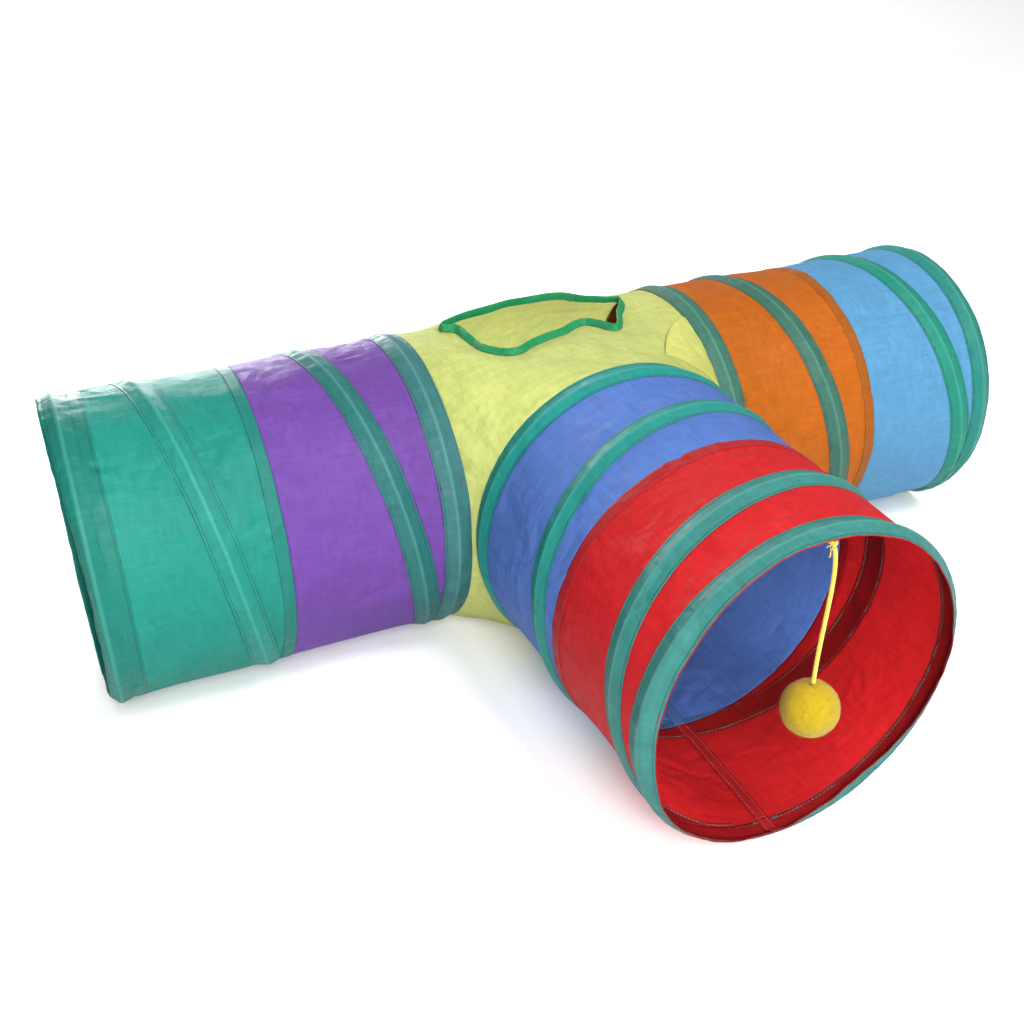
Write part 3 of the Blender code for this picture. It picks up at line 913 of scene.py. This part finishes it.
def add_wire(arm, name, angle, station, half_width, half_height, replaced, closed=False):
    """A wire or a sleeve round the arm, of oval section, with its middle on WIRE_CIRCLE."""
    turn = round_angles(10)
    points = place(arm, np.broadcast_to(station, angle.shape)[:, None] + half_width * np.cos(turn),
                   WIRE_CIRCLE + half_height * np.sin(turn), angle[:, None])
    count, sides = points.shape[:2]
    faces = grid_quads(count, sides, closed, True).reshape(-1, 4).tolist()
    if not closed:
        last = (count - 1) * sides
        faces += [list(range(sides)), list(range(last + sides - 1, last - 1, -1))]
    mesh = new_mesh(name, points, faces)
    edit_mesh(mesh, face_outwards)
    wire = new_object(f"{arm['name']}_{name}", mesh, STEEL)
    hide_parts(f"{arm['name']}_{replaced}")
    return wire


def add_wires(arm):
    turned = np.linspace(0, COIL_TURNS * TURN, 400)
    coil = add_wire(arm, "coil_wire", arm["coil_angle"] + turned, coil_station(arm, turned), WIRE_RADIUS,
                    WIRE_RADIUS, "coil")
    on_side(arm, coil, "hub")
    crimp = np.linspace(-0.5, 0.5, 12) * CRIMP_LENGTH / WIRE_CIRCLE
    for side, body, way in (("hub", "hub", 1), ("rim", f"{arm['name']}_rim", -1)):
        ring = arm[f"{side}_ring"]
        wire = add_wire(arm, f"{side}_wire", round_angles(240), ring, WIRE_RADIUS, WIRE_RADIUS,
                        f"{side}_ring", closed=True)
        middle = arm["coil_angle"] + way * 0.5 * CRIMP_LENGTH / WIRE_CIRCLE
        sleeve = add_wire(arm, f"{side}_sleeve", middle + crimp, ring + way * WIRE_LAP / 2,
                          WIRE_LAP / 2 + WIRE_RADIUS + 0.0003, WIRE_RADIUS + 0.0002, f"{side}_crimp")
        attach(wire, body)
        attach(sleeve, body)


# The hub

HUB_ROWS = 72  # from the top to the bottom of a corner
HUB_COLUMNS = 30  # across a corner, and along each side of the two flat triangles
HOLE = (  # the peek hole's edge, seen from above, from its left tip along the front to the right and back
    (-0.092, 0.021), (-0.080, 0.013), (-0.077, -0.008), (-0.073, -0.028), (-0.063, -0.044), (-0.052, -0.048),
    (-0.038, -0.039), (-0.019, -0.030), (0.000, -0.023), (0.015, -0.016), (0.026, -0.016), (0.034, -0.026),
    (0.042, -0.040), (0.058, -0.012), (0.0745, 0.014), (0.063, 0.021), (0.047, 0.028), (0.031, 0.039),
    (0.007, 0.044), (-0.016, 0.043), (-0.040, 0.039), (-0.060, 0.036), (-0.078, 0.029),
)
HOLE_TOP = 0.2485
BINDING_WIDTH = 0.0074
HOLE_CURL = 0.0016  # how much the hole's edge waves
HOLE_BACK = 0.004  # how far its back edge stands higher
TOP_HALF = 0.2  # the hub's points above this are on its top
FLAP_EDGE = ((0.109, -0.036, 0.242), (0.050, -0.104, 0.238))  # the ends of the flap's fold
FLAP_BOW = (-0.003, 0.003, 0.004)  # how far the fold bows out in its middle
FLAP_ANGLES = (0.32, 0.80)  # the flap meets the right-hand ring from the first angle, on by the second
FLAP_RISE = 0.003
FLAP_GRID = (60, 18)
HUB_FOLDS = (  # ridges and valleys in the slack cloth: two ends, width and height
    ((0.062, -0.012, 0.249), (0.098, -0.088, 0.212), 0.007, 0.0045),
    ((0.085, 0.004, 0.247), (0.106, -0.052, 0.236), 0.006, 0.0035),
    ((0.074, -0.020, 0.247), (0.090, -0.100, 0.200), 0.006, -0.0040),
    ((-0.072, -0.050, 0.247), (-0.118, -0.100, 0.190), 0.008, 0.0020),
    ((-0.055, -0.060, 0.248), (-0.098, -0.108, 0.180), 0.007, -0.0018),
    ((-0.110, 0.000, 0.246), (-0.122, -0.080, 0.215), 0.006, -0.0015),
    ((0.000, -0.035, 0.247), (-0.030, -0.110, 0.245), 0.010, -0.0022),
    ((0.042, -0.055, 0.247), (0.030, -0.112, 0.243), 0.008, 0.0022),
)
HUB_CREASES = [
    (x * 0.28 / 0.3, y, aim, size * 1.3, width * 1.2, depth * 0.9, bend)
    for x, y, aim, size, width, depth, bend in make_creases(0.3, 90, 65)
]


def smooth_loop(corners, count):
    """Points evenly spaced along a closed Catmull-Rom curve through the corners."""
    corners = np.array(corners, float)
    t = np.linspace(0, 1, 24, endpoint=False)[:, None]
    runs = []
    for k in range(len(corners)):
        a, b, c, d = (corners[(k + j) % len(corners)] for j in (-1, 0, 1, 2))
        runs.append(smooth_curve(a, b, c, d, t))
    dense = np.concatenate(runs + [runs[0][:1]])
    length = np.concatenate(((0,), np.cumsum(np.linalg.norm(np.diff(dense, axis=0), axis=1))))
    at = np.arange(count) * length[-1] / count
    return np.stack([np.interp(at, length, dense[:, k]) for k in range(dense.shape[1])], axis=-1)


def hole_height(x, y):
    """The height of the peek hole's floppy edge."""
    curl = HOLE_CURL * smooth_noise(layers(x, y, 0), 0.025, 77)
    return HOLE_TOP + curl + HOLE_BACK * np.clip(y / 0.04, 0, 1)


def hole_lean(y):
    """How steeply the binding stands, in radians: sloping at the hole's front, upright at its back."""
    return 0.78 + 0.70 * np.clip(y / 0.03, 0, 1)


def hub_corner(first, second):
    """Straight threads of cloth from one ring's half to the facing half of the next one, at each height."""
    angle = np.linspace(0, math.pi, HUB_ROWS + 1)
    a = place(first, first["hub_tape"] + 0.0003, CLOTH_RADIUS, -angle)
    b = place(second, second["hub_tape"] + 0.0003, CLOTH_RADIUS, angle)
    share = np.linspace(0, 1, HUB_COLUMNS + 1)[None, :, None]
    return a[:, None] + share * (b - a)[:, None]


def flat_triangle(bm, corners):
    """A triangular grid whose sides match the corners' columns."""
    a, b, c = (np.array(p) for p in corners)
    rows = []
    for i in range(HUB_COLUMNS + 1):
        rows.append([
            bm.verts.new(a + (b - a) * i / HUB_COLUMNS + (c - b) * j / HUB_COLUMNS) for j in range(i + 1)
        ])
    for above, below in zip(rows, rows[1:]):
        for j in range(len(above)):
            bm.faces.new((above[j], below[j], below[j + 1]))
            if j + 1 < len(above):
                bm.faces.new((above[j], below[j + 1], above[j + 1]))


def hub_surface():
    """The lime cloth between the three rings, without its hole."""
    left, right, front = ARMS
    bm = bmesh.new()
    corners = [hub_corner(*pair) for pair in ((left, front), (front, right), (right, left))]
    for grid in corners:
        rows = [[bm.verts.new(p) for p in row] for row in grid]
        for above, below in zip(rows, rows[1:]):
            for k in range(HUB_COLUMNS):
                bm.faces.new((above[k], below[k], below[k + 1], above[k + 1]))
    tops = [grid[0, 0] for grid in corners]
    bottoms = [grid[-1, 0] for grid in corners]
    flat_triangle(bm, tops)
    flat_triangle(bm, bottoms[::-1])
    bmesh.ops.remove_doubles(bm, verts=bm.verts, dist=1e-5)
    face_outwards(bm)
    long_edges = [e for e in bm.edges if e.calc_length() > 0.0045]
    bmesh.ops.subdivide_edges(bm, edges=long_edges, cuts=1, use_grid_fill=True)
    bmesh.ops.triangulate(bm, faces=[f for f in bm.faces if len(f.verts) > 4])
    return bm


def inside_loop(points, loop):
    """Whether each point (x, y) lies inside the closed loop."""
    x, y = points[:, 0][:, None], points[:, 1][:, None]
    a, b = loop, np.roll(loop, -1, axis=0)
    spans = (a[:, 1] > y) != (b[:, 1] > y)
    cross = a[:, 0] + (y - a[:, 1]) / (b[:, 1] - a[:, 1] + 1e-12) * (b[:, 0] - a[:, 0])
    return (spans & (x < cross)).sum(axis=1) % 2 == 1


def segment_fold(points, start, end, width):
    """A tent across a segment: 1 on it, falling to 0 at that width and towards its ends."""
    start, end = np.array(start), np.array(end)
    run = end - start
    share = np.clip(((points - start) @ run) / (run @ run), 0, 1)
    away = np.linalg.norm(points - start - share[:, None] * run, axis=1)
    return np.clip(1 - away / width, 0, 1) * np.sqrt(np.clip(4 * share * (1 - share), 0, 1))


def add_hub():
    bm = hub_surface()
    loop = smooth_loop(HOLE, 260)
    points = np.array([v.co for v in bm.verts])
    cut = inside_loop(points[:, :2], loop) & (points[:, 2] > TOP_HALF)
    bm.verts.ensure_lookup_table()
    bmesh.ops.delete(bm, geom=[bm.verts[i] for i in np.flatnonzero(cut)], context="VERTS")
    for v in {v for e in bm.edges if e.is_boundary for v in e.verts if v.co.z > TOP_HALF}:
        away = np.hypot(*(loop - np.array(v.co[:2])).T)
        if np.min(away) < 0.006:
            v.co.x, v.co.y = loop[np.argmin(away)]
    face_outwards(bm)
    bm.normal_update()
    points = np.array([v.co for v in bm.verts])
    normals = np.array([v.normal for v in bm.verts])
    moved = shape_hub(points, normals, loop)
    for v, p in zip(bm.verts, moved):
        v.co = p
    add_slack_fold(BVHTree.FromBMesh(bm))
    hub = thicken(new_object("hub_cloth", mesh_from(bm, "hub_cloth"), CLOTHS["lime"]))
    settle("hub", "lime", hub)
    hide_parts("hub_cover")
    add_binding(loop)


def shape_hub(points, normals, loop):
    """Waves, folds and creases, which die out towards the three rings, and the raised edge of the hole."""
    held = np.ones(len(points))
    for arm in ARMS:
        station = points @ np.array(arm["axis"])
        held = np.minimum(held, np.clip((arm["hub_tape"] - station) / 0.03, 0, 1))
    held = held ** 0.7
    wave = 0.0020 * smooth_noise(points, 0.06, 60) + 0.0009 * smooth_noise(points, 0.026, 61)
    wave += 0.0004 * smooth_noise(points, 0.011, 62)
    for start, end, width, height in HUB_FOLDS:
        wave += height * segment_fold(points, start, end, width)
    x, y, z = points.T
    creases = crease_height(HUB_CREASES, x + 0.14, y - z + 0.4, wrap=10)
    moved = points + normals * (held * (wave + creases) - 0.0015 * held)[:, None]
    x, y = moved[:, 0], moved[:, 1]
    away = np.min(np.hypot(x[:, None] - loop[None, ::2, 0], y[:, None] - loop[None, ::2, 1]), axis=1)
    near = np.where(z > TOP_HALF, np.exp(-(np.maximum(away - 0.004, 0) / 0.016) ** 1.3), 0)
    border = hole_height(x, y) - 0.85 * BINDING_WIDTH * np.sin(hole_lean(y))
    moved[:, 2] += near * (border - moved[:, 2])
    return moved


def add_slack_fold(surface):
    """The slack of the hub's cloth, laid over in a flap along the top of the right-hand ring."""
    right = ARMS[1]
    share = np.linspace(0, 1, FLAP_GRID[0])[:, None]
    across = np.linspace(0, 1, FLAP_GRID[1])[None, :]
    bow = np.sin(math.pi * share)
    start, end, middle = (np.array(p) for p in (*FLAP_EDGE, FLAP_BOW))
    fold = start * (1 - share) + end * share + bow * middle
    angle = FLAP_ANGLES[0] + share[:, 0] * FLAP_ANGLES[1]
    held = place(right, right["hub_tape"] + 0.0006, CLOTH_RADIUS, angle)
    flat = fold[:, None] * (1 - across[..., None]) + held[:, None] * across[..., None]
    points = np.empty_like(flat)
    lift = FLAP_RISE * (1 - across) ** 3 * bow + 0.0007 + 0.0004 * smooth_noise(flat, 0.007, 95) * bow
    for at in np.ndindex(flat.shape[:2]):
        place_on, normal, _, _ = surface.find_nearest(Vector(flat[at]))
        points[at] = np.array(place_on) + np.array(normal) * lift[at]
    flap = thicken(new_object("hub_slack_fold", sheet_mesh("flap", points), FLAP_CLOTH))
    settle("hub", "lime", flap)


def add_binding(loop):
    """Bias tape folded over the hole's edge: a flattened loop that leans up where the cloth rises to it."""
    height = hole_height(loop[:, 0], loop[:, 1])
    centre = np.column_stack((loop, height))
    tangent = unit(np.roll(centre, -1, axis=0) - np.roll(centre, 1, axis=0))
    outward = unit(np.cross(tangent, (0, 0, 1)))
    if (outward[0] @ (centre[0] - centre.mean(axis=0))) < 0:
        outward = -outward
    lean = hole_lean(loop[:, 1]) + 0.15 * smooth_noise(centre, 0.02, 90)
    across = np.cos(lean)[:, None] * outward + np.sin(lean)[:, None] * np.array((0, 0, -1))
    up = np.cross(tangent, across)
    up *= np.sign(up[:, 2:3] + 1e-9)
    width = BINDING_WIDTH + 0.0006 * smooth_noise(centre, 0.012, 91)
    turn = round_angles(16)
    flat, thick = np.cos(turn), np.sin(turn)
    shape = np.sign(flat) * np.abs(flat) ** 0.55
    rings = (
        centre[:, None]
        + across[:, None] * ((shape + 0.82) * 0.5)[None, :, None] * width[:, None, None]
        + up[:, None] * (thick * 0.0011)[None, :, None]
    )
    ripple = 0.0004 * smooth_noise(rings, 0.004, 92)
    rings += up[:, None] * ripple[..., None]
    quads = grid_quads(*rings.shape[:2], True, True)[..., [0, 3, 2, 1]]
    mesh = new_mesh("binding", rings, quads.reshape(-1, 4).tolist())
    edit_mesh(mesh, face_outwards)
    binding = new_object("hole_binding", mesh, BINDING)
    path = centre + across * (width * 0.74)[:, None] + up * 0.00115
    sewn_path, sewn_up = (np.concatenate((values, values[:1])) for values in (path, up))
    row = stitch_mesh("row", sewn_path, sewn_up)
    stitches = new_object("hole_binding_stitches", row, THREADS["tape"])
    settle("hub", "green_binding", binding, stitches)
    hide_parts("peek_hole_binding")


# The lure

CORD_DIAMETER = 0.003
TWIST_PITCH = 0.009
BALL_FIBRES = 2600


def middle_and_radius(node):
    low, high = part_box(node)
    return np.array((low + high) / 2), (high.x - low.x) / 2


def bezier(a, b, c, d, count):
    t = np.linspace(0, 1, count)[:, None]
    return a * (1 - t) ** 3 + 3 * b * t * (1 - t) ** 2 + 3 * c * t ** 2 * (1 - t) + d * t ** 3


def add_cord():
    """Three twisted strands, on the same route as the CAD's cord."""
    knot, _ = middle_and_radius("lure_knot")
    ball, ball_radius = middle_and_radius("lure_ball")
    way_out = unit(np.array((0.25, -0.1, -0.96)))
    knot_radius, gap = 0.0035, 0.0003
    top = knot + (knot_radius + gap) * way_out
    bottom = ball + np.array((0, 0, ball_radius + gap))
    route = bezier(top, top + 0.02 * way_out, bottom + np.array((0, 0, 0.045)), bottom, 160)
    length = float(np.linalg.norm(np.diff(route, axis=0), axis=1).sum())
    turn = round_angles(24)
    twist = np.linspace(0, length / TWIST_PITCH, len(route))[:, None] * TURN
    strand = 0.5 + 0.5 * np.abs(np.cos(1.5 * (turn[None, :] - twist)))
    radius = CORD_DIAMETER / 2 * (0.80 + 0.20 * strand)
    cord = new_object("lure_twisted_cord", tube_mesh("cord", route, radius, len(turn)), CORD)
    settle("lure", "yellow_cord", cord)
    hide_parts("lure_cord")
    return cord, route, length


def add_ball():
    centre, radius = middle_and_radius("lure_ball")
    bm = bmesh.new()
    bmesh.ops.create_icosphere(bm, subdivisions=6, radius=1)
    points = np.array([v.co for v in bm.verts])
    lumps = 0.0004 * smooth_noise(points, 0.45, 101) + 0.00022 * smooth_noise(points, 0.12, 102)
    pits = 0.00014 * smooth_noise(points, 0.045, 103)
    pole = 0.0008 * np.exp(-((1 - points[:, 2]) / 0.01))
    for v, p, r in zip(bm.verts, points, radius - 0.0012 + lumps + pits - pole):
        v.co = centre + p * r
    ball = new_object("felt_ball", mesh_from(bm, "ball"), FELT)
    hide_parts("lure_ball")
    fuzz = new_object("felt_ball_fuzz", fuzz_mesh(centre, radius - 0.0013), FELT)
    settle("lure", "yellow_felt", ball, fuzz)
    return ball, fuzz


def fuzz_mesh(centre, radius):
    """Loose wool fibres: bent three-sided slivers that stand off the ball."""
    rng = np.random.default_rng(104)
    way = unit(rng.normal(size=(BALL_FIBRES, 3)))
    side = unit(np.cross(way, rng.normal(size=(BALL_FIBRES, 3))))
    other = np.cross(way, side)
    length = rng.uniform(0.0006, 0.0016, (BALL_FIBRES, 1))
    root = centre + way * radius
    middle = root + way * length * 0.6 + side * length * 0.3
    tip = middle + way * length * 0.15 + side * length * 0.9
    points = []
    for spot, thick in ((root, 0.00006), (middle, 0.00005)):
        for a in round_angles(3):
            points.append(spot + thick * (math.cos(a) * side + math.sin(a) * other))
    points.append(tip)
    template = [(0, 1, 4, 3), (1, 2, 5, 4), (2, 0, 3, 5), (3, 4, 6), (4, 5, 6), (5, 3, 6), (2, 1, 0)]
    return new_mesh("fuzz", np.stack(points, axis=1), repeated(template, len(points), BALL_FIBRES))


def add_knot():
    """An overhand knot, with frayed ends."""
    knot, _ = middle_and_radius("lure_knot")
    t = np.linspace(0, TURN, 90)
    path = 0.00078 * layers(
        np.sin(t) + 2 * np.sin(2 * t), np.cos(t) - 2 * np.cos(2 * t), -1.2 * np.sin(3 * t))
    pieces = [new_object("knot", tube_mesh("knot", knot + path[:-1], 0.0010, 10), CORD)]
    rng = np.random.default_rng(110)
    for k in range(4):
        aim = np.array((-0.9, -0.5, -0.3)) + rng.normal(0, 0.35, 3)
        start = knot + np.array((-0.001, -0.001, 0))
        end = start + 0.009 * unit(aim)
        bend = rng.normal(0, 0.0016, 3)
        strand = bezier(start, start + bend, end - bend, end, 12)
        pieces.append(new_object(f"end_{k}", tube_mesh("end", strand, 0.00022, 6), CORD))
    made = join("lure_overhand_knot", pieces)
    settle("lure_knot", "yellow_cord", made)
    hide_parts("lure_knot")


def add_lure():
    cord, route, length = add_cord()
    ball, fuzz = add_ball()
    add_knot()


# Camera, floor and lights

CAMERA_PLACE = (-0.412, -0.8616, 0.6187)
CAMERA_TURN = (23.41, 30.52, 1.03)  # pan, tilt and roll, in degrees
LENS = 41.572
LIGHTS = {  # place, target, diameter in metres, and power in watts
    "key": ((0.45, -1.25, 2.0), (0, -0.1, 0.1), 1.0, 54),
    "fill": ((-0.5, -1.5, 1.0), (0, -0.3, 0.10), 0.7, 35),
    "rim": ((-0.2, 1.6, 0.35), (0, 0, 0.12), 1.0, 50),
    "backdrop": ((0.9, 3.9, 2.8), (1.1, 4.1, 0), 3.0, 90),
}
SKY_LIGHT = 0.56


def add_camera():
    camera = bpy.data.objects.new("camera", bpy.data.cameras.new("camera"))
    bpy.context.scene.collection.objects.link(camera)
    camera.data.lens = LENS
    camera.data.sensor_width = 36
    camera.location = CAMERA_PLACE
    pan, tilt, roll = (math.radians(angle) for angle in CAMERA_TURN)
    upright = Matrix.Rotation(-pan, 4, "Z") @ Matrix.Rotation(math.pi / 2 - tilt, 4, "X")
    camera.rotation_euler = (upright @ Matrix.Rotation(-roll, 4, "Z")).to_euler()
    bpy.context.scene.camera = camera


def add_area(name, place, target, size, power):
    light = bpy.data.objects.new(name, bpy.data.lights.new(name, "AREA"))
    light.data.shape = "DISK"
    light.data.size = size
    light.data.energy = power
    light.location = place
    light.rotation_euler = (Vector(target) - Vector(place)).to_track_quat("-Z", "Y").to_euler()
    bpy.context.scene.collection.objects.link(light)


def add_stage():
    bm = bmesh.new()
    bmesh.ops.create_grid(bm, x_segments=8, y_segments=8, size=6)
    n = Nodes("pale_floor")
    spot = n.add("TexCoord").outputs["Object"]
    noise = n.add("TexNoise", Vector=spot, Scale=3, Detail=2.0)
    tone = n.mix(noise.outputs["Fac"], (0.90, 0.90, 0.90, 1), (0.93, 0.93, 0.93, 1))
    shader = n.add("BsdfPrincipled", Base_Color=tone, Roughness=0.9)
    new_object("floor", mesh_from(bm, "floor"), n.finish(shader))
    world = bpy.data.worlds.new("studio")
    world.use_nodes = True
    background = world.node_tree.nodes["Background"]
    background.inputs["Color"].default_value = (1, 1, 1, 1)
    background.inputs["Strength"].default_value = SKY_LIGHT
    bpy.context.scene.world = world
    bpy.context.scene.view_settings.view_transform = "Standard"
    for name, settings in LIGHTS.items():
        add_area(name, *settings)


add_camera()
add_lure()
for arm in ARMS:
    add_panels(arm)
    add_ring_seam(arm)
    add_long_seam(arm)
    for side in ("hub", "rim"):
        add_ring_tape(arm, side)
    add_coil_tape(arm)
    add_wires(arm)
add_hub()
add_stage()
